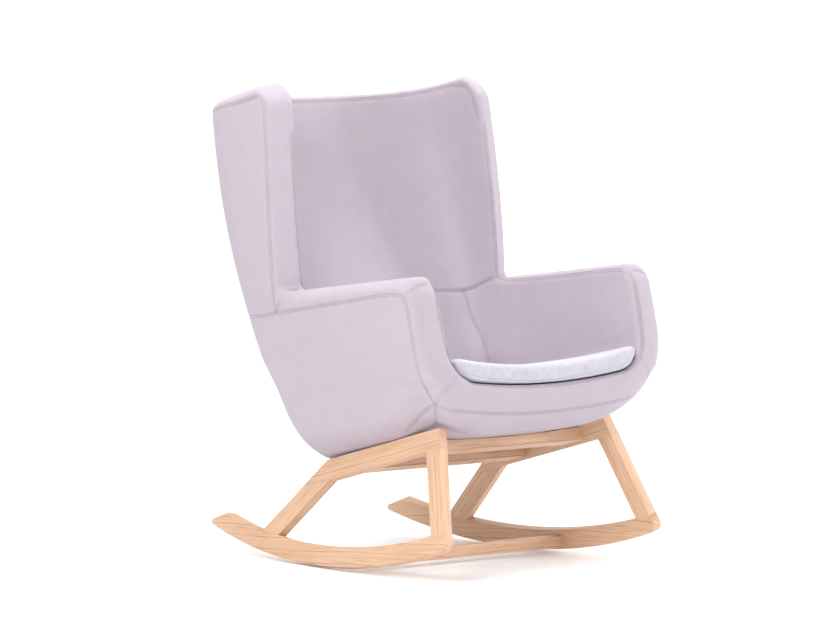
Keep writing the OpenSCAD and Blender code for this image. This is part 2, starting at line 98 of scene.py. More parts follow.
def outer_turn(t):
    """y at which the shell's outer face starts to turn from the wings into the back."""
    return 92.0 + 62.0 * t


def inner_turn(t):
    """The same for the hollow."""
    return 60.0 + 75.0 * t


def inner_rear(t):
    """Rearmost y of the hollow."""
    return rear_y(t) - BACK_WALL - 12 * t


def inner_n(t):
    """Squareness of the hollow's rear corners."""
    return 6.0 - 3.0 * np.clip(t, 0, 1) ** 3


def corner_cut(t):
    """How far the wings' front corner is cut back at the crown."""
    return 45.0 * (np.clip(t - 0.9, 0, 0.2) / 0.1) ** 2


def level(y, z):
    """0 at the rim, 1 at the crown."""
    return np.clip((z - WALL_FOOT) / (crown(y) - WALL_FOOT), -0.3, 1.15)


def front_y(z):
    """Front face of the arms and of the seat's front band."""
    return -362.0 - 0.27 * (614.0 - np.maximum(z, RIM))


# ---------------------------------------------------------------- distance fields
def as_distance(f, h):
    """Scales a field sampled at pitch h so that it grows by about 1 per millimetre."""
    gx, gy, gz = np.gradient(f, h)
    g = np.sqrt(gx * gx + gy * gy + gz * gz)
    return f / np.maximum(g, 1e-4)


def rounded_and(a, b, r):
    """Intersection of two fields whose shared edge is rounded to radius r."""
    u, v = np.maximum(a + r, 0), np.maximum(b + r, 0)
    return np.minimum(np.maximum(a, b), -r) + np.sqrt(u * u + v * v)


def filleted_or(a, b, r):
    """Union of two fields whose inner corner is filled to radius r."""
    u, v = np.maximum(r - a, 0), np.maximum(r - b, 0)
    return np.maximum(np.minimum(a, b), r) - np.sqrt(u * u + v * v)


def power(v, p):
    return np.maximum(v, 1e-6) ** p


def hull_field(x, y, z, h):
    """The outer sides, back, front and rounded underside, as one body."""
    t = level(y, z)
    low = ramp(z, 350, 440)
    mid = HEEL_Y + low * (63.0 + 62.0 * np.maximum(t, 0))
    to_arm = 1 - ramp(y, -250, 110)
    arm_w = ARM_LOW + ARM_SWELL * (1 - (1 - np.clip((z - 405) / 100, 0, 1)) ** 2)
    half = side_w(t) * (1 - to_arm) + arm_w * to_arm
    px = np.abs(x) / half
    nose = np.maximum(0, (front_y(z) + NOSE_LEN) - y) / NOSE_LEN
    rear = rear_y(np.maximum(t, 0)) + HEEL_LEAN * np.minimum(t, 0)
    heel = np.maximum(0, y - mid) / (rear - mid)
    at_front = y < END_Y
    q = np.where(at_front, 8.0, 5.0)
    py = np.maximum(nose, heel)
    plan = (power(px, q) + power(py, q)) ** (1 / q)
    pz = np.maximum(0, RIM - z) / (RIM - keel(np.clip(y, NOSE_Y, HEEL_Y)))
    w = np.where(at_front, 1.0, 2.0) * power(py, 5) / (power(px, 5) + power(py, 5) + 1e-6)
    w = np.clip(w, 0, 1)
    back = ramp(y, -320, -180)
    side_n, side_m = TUB_N + (3.6 - TUB_N) * back, TUB_M + (3.6 - TUB_M) * back
    end_n, end_m = np.where(at_front, 2.2, HEEL_N), np.where(at_front, 1.6, HEEL_N)
    n = side_n + (end_n - side_n) * w
    m = side_m + (end_m - side_m) * w
    f = (power(plan, n) + power(pz, m)) ** (1 / n) - 1
    return as_distance(f, h)


def hollow_field(x, y, z, h):
    """The space for the sitter: inside the arms and wings, above the seat."""
    t = level(y, z)
    mid = inner_turn(t) + corner_cut(t)
    wing_in = side_w(t) - SIDE_WALL
    arm_in = ARM_IN + 4.0 * ramp(z, 500, 610)
    s = ramp(mid - y, 0, 200)
    half = wing_in * (1 - s) + arm_in * s
    px = np.abs(x) / half
    py = np.maximum(0, y - mid) / (inner_rear(t) - mid)
    n = inner_n(t)
    f = (power(px, n) + power(py, n)) ** (1 / n) - 1
    walls = as_distance(f, h)
    return rounded_and(walls, seat_top(x, y) - z, SEAT_CORNER)


def shell_field(x, y, z, h):
    """The whole upholstered shell: the hull, cut along the arms' and wings' edges and hollowed out."""
    t = level(y, z)
    cut = corner_cut(t)
    f_out, f_in = outer_turn(t) + cut, 50.0 + 75.0 * t + cut
    slope = (f_out - f_in) / SIDE_WALL
    wing_front = f_in + slope * (np.abs(x) - (side_w(t) - SIDE_WALL)) - y
    wing_front = wing_front / np.sqrt(1 + slope * slope)
    over_arm = (z - arm_top(y)) * 0.99
    over_wing = np.maximum(z - crown(y), wing_front)
    above = filleted_or(over_arm, over_wing, 15.0)
    arm_zone = ramp(-y, -95, -20) * (1 - ramp(z - arm_top(y), 10, 50))
    crown_zone = ramp(z - crown(y), -60, -30) * ramp(y, 165, 215)
    nose_zone = ramp(-y, 300, 360) * arm_zone
    outer_r = 11.0 + 21.0 * arm_zone + 11.0 * crown_zone + 14.0 * nose_zone
    body = rounded_and(hull_field(x, y, z, h), above, outer_r)
    inner_r = 10.0 + 5.0 * arm_zone
    return rounded_and(body, -hollow_field(x, y, z, h), inner_r)


def surface_of(field, start, h):
    """Closed quad mesh of the field's zero level: one vertex in each cell that the level crosses."""
    inside = field < 0
    shape = np.array(field.shape) - 1
    total = np.zeros((*shape, 3), np.float32)
    count = np.zeros(shape, np.float32)
    for axis in range(3):
        a = [slice(None)] * 3
        b = [slice(None)] * 3
        a[axis], b[axis] = slice(0, -1), slice(1, None)
        fa, fb = field[tuple(a)], field[tuple(b)]
        cross = inside[tuple(a)] != inside[tuple(b)]
        where = np.where(cross, fa / np.where(cross, fa - fb, 1), 0)
        others = [i for i in range(3) if i != axis]
        for i in (0, 1):
            for j in (0, 1):
                pick = [slice(None)] * 3
                pick[others[0]] = slice(i, i + shape[others[0]])
                pick[others[1]] = slice(j, j + shape[others[1]])
                c = cross[tuple(pick)]
                count += c
                total[..., axis] += where[tuple(pick)]
                total[..., others[0]] += c * i
                total[..., others[1]] += c * j
    cells = np.argwhere(count > 0)
    index = np.full(shape, -1, np.int64)
    index[tuple(cells.T)] = np.arange(len(cells))
    verts = cells + total[tuple(cells.T)] / count[tuple(cells.T)][:, None]
    verts = verts * h + np.array(start)
    quads = []
    for axis in range(3):
        a = [slice(1, -1)] * 3
        b = [slice(1, -1)] * 3
        a[axis], b[axis] = slice(0, -1), slice(1, None)
        ia, ib = inside[tuple(a)], inside[tuple(b)]
        at = np.argwhere(ia != ib)
        off = np.ones(3, int)
        off[axis] = 0
        at = at + off
        flip = ia[tuple((at - off).T)]
        e = np.eye(3, dtype=int)
        u, v = e[(axis + 1) % 3], e[(axis + 2) % 3]
        ring = [index[tuple((at - d).T)] for d in (u + v, v, 0 * u, u)]
        q = np.stack(ring, 1)
        q[~flip] = q[~flip][:, ::-1]
        quads.append(q)
    return verts, np.concatenate(quads)


def relax(verts, faces, rounds):
    """Taubin smoothing: takes the grid's steps out and keeps the volume."""
    edges = np.concatenate([faces[:, [i, (i + 1) % 4]] for i in range(4)])
    n = len(verts)
    degree = np.bincount(edges[:, 0], minlength=n) + np.bincount(edges[:, 1], minlength=n)
    for i in range(2 * rounds):
        mean = np.zeros_like(verts)
        for c in range(3):
            mean[:, c] = np.bincount(edges[:, 0], verts[edges[:, 1], c], n)
            mean[:, c] += np.bincount(edges[:, 1], verts[edges[:, 0], c], n)
        verts = verts + (0.6 if i % 2 == 0 else -0.62) * (mean / degree[:, None] - verts)
    return verts


STEP = 5.8             # grid pitch of the shell
CUSHION_STEP = 4.0     # and of the cushion


def sampled(function, low, high, h):
    """Smoothed mesh of a distance field's zero level, on a grid of pitch h."""
    axes = [np.arange(a, b + h, h, dtype=np.float32) for a, b in zip(low, high)]
    x, y, z = np.meshgrid(*axes, indexing="ij")
    verts, quads = surface_of(function(x, y, z, h), low, h)
    return relax(verts, quads, 3), quads


# ---------------------------------------------------------------- meshes and objects
def to_object(name, verts, faces):
    """Object from millimetre coordinates."""
    me = bpy.data.meshes.new(name)
    me.from_pydata((np.asarray(verts, float) * MM).tolist(), [], [list(f) for f in faces])
    me.polygons.foreach_set("use_smooth", [True] * len(me.polygons))
    o = bpy.data.objects.new(name, me)
    bpy.context.scene.collection.objects.link(o)
    return o


def tree_of(verts, faces):
    return BVHTree.FromPolygons([tuple(v) for v in verts], [tuple(f) for f in faces.tolist()])


def spline(points, gap):
    """Smooth curve through given points, resampled to even gaps."""
    p = np.array(points, float)
    p = np.concatenate([[2 * p[0] - p[1]], p, [2 * p[-1] - p[-2]]])
    out = []
    for i in range(1, len(p) - 2):
        a, b, c, d = p[i - 1 : i + 3]
        for s in np.linspace(0, 1, 24, endpoint=False):
            out.append(0.5 * (2 * b + (c - a) * s + (2 * a - 5 * b + 4 * c - d) * s * s
                              + (3 * b - a - 3 * c + d) * s ** 3))
    out.append(p[-2])
    out = np.array(out)
    run = np.concatenate([[0], np.cumsum(np.linalg.norm(np.diff(out, axis=0), axis=1))])
    at = np.linspace(0, run[-1], max(2, int(round(run[-1] / gap)) + 1))
    return np.stack([np.interp(at, run, out[:, c]) for c in range(3)], 1)


def on_surface(tree, points):
    """Nearest surface points and their normals."""
    at, normals = [], []
    for p in points:
        hit, normal, _, _ = tree.find_nearest(Vector(p))
        at.append(hit)
        normals.append(normal)
    return np.array(at), np.array(normals)


def eased(points, rounds=3):
    p = points.copy()
    for _ in range(rounds):
        p[1:-1] = 0.25 * p[:-2] + 0.5 * p[1:-1] + 0.25 * p[2:]
    return p


# ---------------------------------------------------------------- seams
def plan_outer(a, z):
    """Point of the shell's outer plan outline at height z; a is 0 at the back, 90 degrees at the side."""
    y = 300.0
    for _ in range(3):
        t = float(level(y, z))
        mid = outer_turn(t)
        y = mid + (rear_y(t) - mid) * max(math.cos(a), 1e-6) ** 0.4
    return (float(side_w(t)) * math.sin(a) ** 0.4, y, z)


def plan_inner(a, z):
    """The same for the inner outline."""
    y = 250.0
    for _ in range(3):
        t = float(level(y, z))
        mid = inner_turn(t)
        y = mid + (inner_rear(t) - mid) * max(math.cos(a), 1e-6) ** (2 / 3)
    return ((float(side_w(t)) - SIDE_WALL) * math.sin(a) ** (2 / 3), y, z)


def half_crown(plan, drop):
    """Points round half of the crown on a plan outline, at `drop` below the upper edge."""
    out = []
    for deg in (0, 8, 20, 34, 48, 62, 74):
        x, y, z = plan(math.radians(deg), 950.0)
        x, y, z = plan(math.radians(deg), crown(y) - drop)
        out.append((x, y, z))
    return out


SEAMS = {
    "crown_outer": half_crown(plan_outer, 20) + [(308, 240, 970), (307, 176, 986)],
    "wing_outer": [(307, 176, 986), (309, 158, 968), (314, 146, 900), (319, 134, 808),
                   (322, 121, 674), (320, 112, 560), (318, 107, 531)],
    "arm_outer": [(318, 107, 531), (324, -15, 551), (334, -159, 574), (337, -296, 596),
                  (336, -331, 589), (334, -341, 573), (334, -350, 542), (334, -360, 506),
                  (329, -366, 459), (316, -365, 423), (303, -363, 401), (291, -364, 384),
                  (280, -367, 371)],
    "front_low": [(280, -367, 371), (270, -375, 365), (259, -381, 361), (243, -387, 358),
                  (188, -391, 350), (105, -387, 341), (37, -385, 338), (0, -384, 338)],
    "under_side": [(280, -367, 371), (272, -339, 360), (256, -300, 348), (237, -225, 318)],
    "arm_mitre": [(335, -333, 590), (325, -343, 603), (311, -346, 613), (297, -347, 619),
                  (281, -347, 619)],
    "seat_mitre": [(280, -367, 371), (282, -394, 396), (268, -408, 418), (252, -405, 437)],
    "side_back": [(318, 107, 531), (318, 154, 523), (312, 205, 516), (285, 248, 511),
                  (200, 255, 508), (0, 256, 507)],
    "crown_inner": half_crown(plan_inner, 12) + [(262, 168, 990), (262, 152, 984)],
    "wing_inner": [(262, 152, 984), (265, 138, 955), (268, 117, 885), (271, 104, 810),
                   (272, 92, 713), (270, 80, 615), (266, 73, 588)],
    "arm_inner": [(266, 73, 588), (268, 30, 576), (268, -131, 595), (268, -290, 616),
                  (270, -338, 618), (272, -354, 606), (273, -366, 586), (272, -382, 536),
                  (267, -396, 485), (250, -405, 441), (226, -404, 420)],
    "seat_front": [(226, -404, 420), (205, -405, 413), (100, -405, 401), (0, -405, 398)],
    "lumbar": [(265, 72, 586), (262, 127, 563), (245, 162, 551), (205, 184, 549),
               (100, 196, 547), (0, 199, 547)],
    "lumbar_side": [(245, 162, 550), (246, 132, 487), (250, 96, 430), (246, 80, 395)],
    "nose_down": [(280, -367, 371), (253, -339, 345), (215, -296, 324)],
    "wing_mitre": [(318, 107, 531), (302, 92, 560), (284, 78, 580), (266, 73, 588)],
}
TWIN = 2.9               # distance of each row of stitches from its seam
SEAM_GAP = 4.0           # spacing of the points along a seam
SEAM_DEPTH, SEAM_WIDTH = 1.35, 4.6
CORD_R, CORD_SINK = 0.62, 0.28


def mirrored(points):
    return [(-x, y, z) for x, y, z in points]


def seam_lines(gap):
    """Every seam as one line; those that reach the middle plane are joined with their mirror image."""
    lines = []
    for points in SEAMS.values():
        if points[0][0] == 0:
            points = points[::-1]
        if points[-1][0] == 0:
            lines.append(spline(points + mirrored(points[:-1])[::-1], gap))
        else:
            lines += [spline(points, gap), spline(mirrored(points), gap)]
    return lines


def sink_seams(verts, tree, lines, depth, width):
    """Draws the cover in along the seams, as sewing does."""
    kd_points = np.concatenate([on_surface(tree, l)[0] for l in lines])
    kd = KDTree(len(kd_points))
    for i, p in enumerate(kd_points):
        kd.insert(p, i)
    kd.balance()
    out = verts.copy()
    for i, v in enumerate(verts):
        _, _, d = kd.find(v)
        if d < 3 * width:
            _, normal, _, _ = tree.find_nearest(Vector(v))
            out[i] = v - np.array(normal) * depth * math.exp(-(d / width) ** 2)
    return out


def tube(points, normals, radius, sides=6, sink=0.0):
    """Tube along points, sunk below the surface by `sink`."""
    n = len(points)
    along = np.gradient(points, axis=0)
    along /= np.linalg.norm(along, axis=1)[:, None] + 1e-9
    side = np.cross(along, normals)
    side /= np.linalg.norm(side, axis=1)[:, None] + 1e-9
    up = np.cross(side, along)
    verts = []
    for i in range(n):
        for j in range(sides):
            a = 2 * math.pi * j / sides
            verts.append(points[i] - up[i] * sink + radius * (math.cos(a) * side[i] + math.sin(a) * up[i]))
    faces = [(i * sides + j, i * sides + (j + 1) % sides, (i + 1) * sides + (j + 1) % sides,
              (i + 1) * sides + j) for i in range(n - 1) for j in range(sides)]
    faces.append(tuple(range(sides))[::-1])
    faces.append(tuple((n - 1) * sides + j for j in range(sides)))
    return np.array(verts), faces


def gather(parts):
    """Joins (verts, faces) pairs."""
    verts, faces, base = [], [], 0
    for v, f in parts:
        verts.append(v)
        faces += [[i + base for i in face] for face in f]
        base += len(v)
    return np.concatenate(verts), faces


def stitches(points, normals, pitch=5.0, length=4.3, radius=0.55):
    """A row of single stitches on the surface: small spindles, each half sunk."""
    run = np.concatenate([[0], np.cumsum(np.linalg.norm(np.diff(points, axis=0), axis=1))])
    parts = []
    for k in range(int(run[-1] / pitch)):
        mid = (k + 0.5) * pitch
        at = np.array([mid - length / 2, mid - length / 4, mid, mid + length / 4, mid + length / 2])
        p = np.stack([np.interp(at, run, points[:, c]) for c in range(3)], 1)
        n = np.stack([np.interp(at, run, normals[:, c]) for c in range(3)], 1)
        lift = np.array([-0.35, 0.1, 0.22, 0.1, -0.35])
        size = radius * np.array([0.35, 0.9, 1.0, 0.9, 0.35])
        along = (p[-1] - p[0]) / (np.linalg.norm(p[-1] - p[0]) + 1e-9)
        side = np.cross(along, n[2])
        side /= np.linalg.norm(side) + 1e-9
        up = np.cross(side, along)
        verts = []
        for i in range(5):
            for j in range(5):
                a = 2 * math.pi * j / 5
                c = p[i] + up * lift[i]
                verts.append(c + size[i] * (math.cos(a) * side + math.sin(a) * up))
        faces = [(i * 5 + j, i * 5 + (j + 1) % 5, (i + 1) * 5 + (j + 1) % 5, (i + 1) * 5 + j)
                 for i in range(4) for j in range(5)]
        faces += [(4, 3, 2, 1, 0), (20, 21, 22, 23, 24)]
        parts.append((np.array(verts), faces))
    return parts


# ---------------------------------------------------------------- node materials
class Nodes:
    """Short way to build a material's node tree."""

    def __init__(self, name):
        self.mat = bpy.data.materials.new(name)
        self.mat.use_nodes = True
        self.tree = self.mat.node_tree
        self.shader = self.tree.nodes["Principled BSDF"]
        self.coords = self.add("ShaderNodeTexCoord").outputs["Object"]

    def add(self, kind, **settings):
        node = self.tree.nodes.new(kind)
        for k, v in settings.items():
            setattr(node, k, v)
        return node

    def link(self, a, b):
        self.tree.links.new(a, b)

    def scaled(self, scale, turn=(0, 0, 0), source=None):
        m = self.add("ShaderNodeMapping")
        m.inputs["Scale"].default_value = scale
        m.inputs["Rotation"].default_value = turn
        self.link(source or self.coords, m.inputs["Vector"])
        return m.outputs["Vector"]

    def noise(self, vector, scale, detail=3.0, rough=0.5, distortion=0.0):
        n = self.add("ShaderNodeTexNoise")
        n.inputs["Scale"].default_value = scale
        n.inputs["Detail"].default_value = detail
        n.inputs["Roughness"].default_value = rough
        n.inputs["Distortion"].default_value = distortion
        self.link(vector, n.inputs["Vector"])
        return n.outputs["Fac"]

    def wave(self, vector, scale, direction="X", kind="BANDS", profile="SIN", distortion=0.0, detail=0.0,
             detail_scale=1.0):
        w = self.add("ShaderNodeTexWave", wave_type=kind, wave_profile=profile)
        if kind == "BANDS":
            w.bands_direction = direction
        else:
            w.rings_direction = direction
        w.inputs["Scale"].default_value = scale
        w.inputs["Distortion"].default_value = distortion
        w.inputs["Detail"].default_value = detail
        w.inputs["Detail Scale"].default_value = detail_scale
        self.link(vector, w.inputs["Vector"])
        return w.outputs["Fac"]

    def ramp(self, value, stops):
        r = self.add("ShaderNodeValToRGB")
        while len(r.color_ramp.elements) < len(stops):
            r.color_ramp.elements.new(0.5)
        for e, (at, colour) in zip(r.color_ramp.elements, stops):
            e.position = at
            e.color = (*colour, 1)
        self.link(value, r.inputs["Fac"])
        return r.outputs["Color"]

    def maths(self, op, a, b):
        m = self.add("ShaderNodeMath", operation=op)
        for i, v in enumerate((a, b)):
            if isinstance(v, (int, float)):
                m.inputs[i].default_value = v
            else:
                self.link(v, m.inputs[i])
        return m.outputs[0]

    def mix(self, a, b, amount, mode="MIX"):
        m = self.add("ShaderNodeMix", data_type="RGBA", blend_type=mode)
        for i, v in ((0, amount), (6, a), (7, b)):
            if isinstance(v, (int, float)):
                m.inputs[i].default_value = v
            elif isinstance(v, tuple):
                m.inputs[i].default_value = (*v, 1)
            else:
                self.link(v, m.inputs[i])
        return m.outputs[2]

    def finish(self, colour, rough, bump=None, bump_mm=0.1, sheen=0.0, metallic=0.0, specular=0.5):
        sh = self.shader.inputs
        self.link(colour, sh["Base Color"])
        if isinstance(rough, float):
            sh["Roughness"].default_value = rough
        else:
            self.link(rough, sh["Roughness"])
        if bump is not None:
            b = self.add("ShaderNodeBump")
            b.inputs["Strength"].default_value = 1.0
            b.inputs["Distance"].default_value = bump_mm * MM
            self.link(bump, b.inputs["Height"])
            self.link(b.outputs["Normal"], sh["Normal"])
        sh["Sheen Weight"].default_value = sheen
        sh["Sheen Roughness"].default_value = 0.5
        sh["Metallic"].default_value = metallic
        sh["Specular IOR Level"].default_value = specular
        return self.mat


def felt(name, dark, light, sheen=0.12):
    """Felted wool: a matted fibre grain over a barely visible weave."""
    n = Nodes(name)
    fibre = n.noise(n.coords, 900, 3, 0.6, 0.3)
    clump = n.noise(n.coords, 330, 3, 0.55, 0.5)
    blotch = n.noise(n.coords, 28, 2, 0.5)
    across = n.wave(n.scaled((1, 1, 0.5), (0.2, 0.1, 0.4)), 330, "X", distortion=2.0, detail=2)
    down = n.wave(n.scaled((1, 1, 1), (0.1, 0.3, 0.2)), 330, "Z", distortion=2.0, detail=2)
    weave = n.maths("MULTIPLY", across, down)
    grain = n.maths("ADD", n.maths("MULTIPLY", fibre, 0.45), n.maths("MULTIPLY", clump, 0.4))
    tone = n.maths("ADD", grain, n.maths("MULTIPLY", blotch, 0.15))
    colour = n.ramp(tone, [(0.36, dark), (0.64, light)])
    height = n.maths("ADD", n.maths("MULTIPLY", fibre, 0.75), n.maths("MULTIPLY", weave, 0.25))
    rough = n.maths("ADD", n.maths("MULTIPLY", fibre, 0.1), 0.88)
    return n.finish(colour, rough, height, 0.30, sheen=sheen, specular=0.15)


def melange(name):
    """Wool of mixed pale and blue-grey yarns, with short level streaks."""
    n = Nodes(name)
    yarn = n.noise(n.scaled((1, 1, 2.6)), 330, 5, 0.7, 0.6)
    flecks = n.noise(n.scaled((0.6, 0.6, 1.8)), 800, 3, 0.6)
    blotch = n.noise(n.coords, 60, 3, 0.6)
    tone = n.maths("ADD", n.maths("MULTIPLY", yarn, 0.55),
                   n.maths("ADD", n.maths("MULTIPLY", flecks, 0.3), n.maths("MULTIPLY", blotch, 0.15)))
    colour = n.ramp(tone, [(0.36, (0.33, 0.325, 0.385)), (0.5, (0.50, 0.485, 0.555)),
                           (0.64, (0.65, 0.63, 0.69))])
    rib = n.wave(n.coords, 420, "Z", distortion=2.0, detail=2)
    height = n.maths("ADD", n.maths("MULTIPLY", yarn, 0.7), n.maths("MULTIPLY", rib, 0.3))
    rough = n.maths("ADD", n.maths("MULTIPLY", yarn, 0.1), 0.84)
    return n.finish(colour, rough, height, 0.4, sheen=0.3, specular=0.2)


def timber(name, early, late, pore, ring_mm=3.4):
    """Solid wood whose grain runs along the object's own X: rings, flame figure, pores and end grain."""
    n = Nodes(name)
    info = n.add("ShaderNodeObjectInfo")
    shift = n.add("ShaderNodeVectorMath", operation="SCALE")
    shift.inputs[0].default_value = (0.35, 0.21, 0.17)
    n.link(info.outputs["Random"], shift.inputs["Scale"])
    place = n.add("ShaderNodeVectorMath", operation="ADD")
    n.link(n.coords, place.inputs[0])
    n.link(shift.outputs[0], place.inputs[1])
    along = n.scaled((0.10, 1, 1), (0, 0, 0.012), place.outputs[0])
    bend = n.noise(along, 14, 2, 0.5)
    lift = n.add("ShaderNodeVectorMath", operation="MULTIPLY_ADD")
    n.link(bend, lift.inputs[0])
    lift.inputs[1].default_value = (0.0, 0.030, 0.022)
    n.link(along, lift.inputs[2])
    rings = n.wave(lift.outputs[0], 1000 / ring_mm / 20, "X", "RINGS", "SAW", 0.6, 2.0, 2.0)
    fibre = n.noise(n.scaled((0.02, 1, 1), source=place.outputs[0]), 900, 4, 0.6)
    pores = n.noise(n.scaled((0.035, 1, 1), source=place.outputs[0]), 420, 2, 0.5)
    cloud = n.noise(n.scaled((0.2, 1, 1), source=place.outputs[0]), 18, 3, 0.5)
    base = n.ramp(rings, [(0.0, early), (0.55, late), (0.86, early), (1.0, pore)])
    fine = n.ramp(fibre, [(0.3, (0.80, 0.76, 0.70)), (0.6, (1, 1, 1))])
    dots = n.ramp(pores, [(0.36, (0.72, 0.62, 0.52)), (0.46, (1, 1, 1))])
    drift = n.ramp(cloud, [(0.3, (0.90, 0.87, 0.82)), (0.7, (1.04, 1.03, 1.02))])
    tone = n.ramp(info.outputs["Random"], [(0.0, (0.95, 0.93, 0.90)), (1.0, (1.03, 1.02, 1.0))])
    colour = base
    for layer, amount in ((fine, 0.55), (dots, 0.5), (drift, 1.0), (tone, 1.0)):
        colour = n.mix(colour, layer, amount, "MULTIPLY")
    rough = n.maths("ADD", n.maths("MULTIPLY", fibre, 0.18), 0.38)
    height = n.maths("ADD", n.maths("MULTIPLY", pores, 0.6), n.maths("MULTIPLY", rings, 0.2))
    return n.finish(colour, rough, height, 0.06, specular=0.35)


def metal(name, dark, light, metallic, rough_lo):
    n = Nodes(name)
    grain = n.noise(n.scaled((1, 1, 0.2)), 500, 4, 0.6)
    stain = n.noise(n.coords, 70, 3, 0.6)
    colour = n.ramp(stain, [(0.35, dark), (0.65, light)])
    rough = n.maths("ADD", n.maths("MULTIPLY", grain, 0.25), rough_lo)
    return n.finish(colour, rough, grain, 0.03, metallic=metallic)


def plywood(name):
    n = Nodes(name)
    plies = n.wave(n.coords, 120, "Z", profile="SAW", distortion=0.3, detail=1)
    fibre = n.noise(n.scaled((0.05, 1, 1)), 500, 4, 0.6)
    base = n.ramp(plies, [(0.0, (0.62, 0.45, 0.27)), (0.5, (0.74, 0.58, 0.38)), (1.0, (0.5, 0.34, 0.2))])
    fine = n.ramp(fibre, [(0.3, (0.8, 0.75, 0.7)), (0.65, (1, 1, 1))])
    return n.finish(n.mix(base, fine, 0.7, "MULTIPLY"), 0.6, fibre, 0.08)


FELT = felt("felt_lilac", (0.405, 0.353, 0.402), (0.475, 0.418, 0.474))
FELT_SEAM = felt("felt_seam", (0.34, 0.297, 0.332), (0.42, 0.37, 0.412), 0.1)
THREAD = felt("thread_lilac", (0.20, 0.168, 0.196), (0.28, 0.24, 0.272), 0.1)
WOOL = melange("wool_melange")
WOOL_SEAM = felt("wool_piping", (0.30, 0.31, 0.37), (0.46, 0.46, 0.53), 0.2)
ASH = timber("ash_oiled", (0.72, 0.502, 0.370), (0.67, 0.437, 0.298), (0.52, 0.315, 0.195))
BEECH = timber("beech_raw", (0.62, 0.42, 0.25), (0.70, 0.50, 0.32), (0.5, 0.32, 0.18), 2.2)
ZINC = metal("zinc_steel", (0.45, 0.46, 0.48), (0.66, 0.67, 0.69), 1.0, 0.25)
PRIMER = metal("black_primer", (0.02, 0.02, 0.022), (0.045, 0.045, 0.05), 0.0, 0.45)
PLY = plywood("birch_plywood")


def dress(o, material):
    o.data.materials.clear()
    o.data.materials.append(material)
    return o


# ---------------------------------------------------------------- upholstered shell
GRID_LOW, GRID_HIGH = (-364.0, -436.8, 186.0), (364.0, 442.0, 1032.0)
verts, quads = sampled(shell_field, GRID_LOW, GRID_HIGH, STEP)
raw_tree = tree_of(verts, quads)
lines = seam_lines(SEAM_GAP)
verts = sink_seams(verts, raw_tree, lines, SEAM_DEPTH, SEAM_WIDTH)
tree = tree_of(verts, quads)
shell = dress(to_object("upholstered_shell", verts, quads.tolist()), FELT)
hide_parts("seat_pad", "arm_pad_left", "arm_pad_right", "wing_pad_left", "wing_pad_right", "back_pad")
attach(shell, "chair")

cords, rows = [], []
for line in lines:
    at, normals = on_surface(tree, line)
    at, normals = eased(at), eased(normals)
    cords.append(tube(at, normals, CORD_R, sink=CORD_SINK))
    along = np.gradient(at, axis=0)
    side = np.cross(along, normals)
    side /= np.linalg.norm(side, axis=1)[:, None] + 1e-9
    for way in (-1, 1):
        p, n = on_surface(tree, at + way * TWIN * side)
        rows += stitches(eased(p), eased(n))
seam_cord = dress(to_object("shell_seams", *gather(cords)), FELT_SEAM)
stitching = dress(to_object("shell_stitching", *gather(rows)), THREAD)
for o in (seam_cord, stitching):
    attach(o, "chair")


# ---------------------------------------------------------------- loose cushion
def cushion_field(x, y, z, h):
    """The loose cushion: follows the seat, crowned on top and kept clear of the shell."""
    front, rear, half = -405.0, 112.0, 252.0
    mid, deep = (front + rear) / 2, (rear - front) / 2
    n = 22.0
    plan = as_distance((power(np.abs(x) / half, n) + power(np.abs(y - mid) / deep, n)) ** (1 / n) - 1, h)
    dome = 3.0 * np.clip(1 - (np.abs(x) / half) ** 4, 0, 1) * np.clip(1 - (np.abs(y - mid) / deep) ** 6, 0, 1)
    top = seat_top(x, y) + 42.0 + 5.0 * fade(y) * (np.abs(x) / 220.0) ** 3 + dome
    pad = rounded_and(plan, z - top, 15.0)
    return rounded_and(pad, hollow_field(x, y, z, h) + 3.0, 8.0)


CUSHION_LOW, CUSHION_HIGH = (-268.0, -424.0, 308.0), (268.0, 136.0, 492.0)
c_verts, c_quads = sampled(cushion_field, CUSHION_LOW, CUSHION_HIGH, CUSHION_STEP)
c_tree = tree_of(c_verts, c_quads)


def cushion_seam():
    """Line round the cushion a little above its lower edge."""
    half, mid, deep, points = 251, -143, 261, 240
    out = []
    for i in range(points):
        a = 2 * math.pi * i / points
        c, s = math.cos(a), math.sin(a)
        x = half * math.copysign(abs(c) ** (1 / 11), c)
        y = mid + deep * math.copysign(abs(s) ** (1 / 11), s)
        z = float(seat_top(x, y)) + 7.5 + 14 * (abs(x) / 245) ** 4
        out.append((x, y, z))
    out.append(out[0])
    return spline(out, SEAM_GAP)


c_line = cushion_seam()
c_verts = sink_seams(c_verts, c_tree, [c_line], 1.2, 4.0)
c_tree = tree_of(c_verts, c_quads)
cushion = dress(to_object("loose_cushion", c_verts, c_quads.tolist()), WOOL)
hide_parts("seat_cushion")
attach(cushion, "cushion")
at, normals = on_surface(c_tree, c_line)
piping = dress(to_object("cushion_seam", *tube(eased(at), eased(normals), 0.9, sink=0.35)), WOOL_SEAM)
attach(piping, "cushion")


# ---------------------------------------------------------------- wooden base
BOARDS = ["runner_left", "runner_right", "front_leg_left", "front_leg_right", "rear_leg_left",
          "rear_leg_right", "top_rail_left", "top_rail_right", "front_crossbar", "rear_crossbar",
          "low_stretcher"]
EDGE = 1.6               # easing of the boards' long edges


def clean_mesh(name):
    """The CAD board's mesh with its flat faces whole again."""
    b = bmesh.new()
    b.from_mesh(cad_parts[name].data)
    bmesh.ops.remove_doubles(b, verts=b.verts, dist=0.00002)
    bmesh.ops.dissolve_limit(b, angle_limit=math.radians(0.4), verts=b.verts, edges=b.edges)
    b.normal_update()
    return b


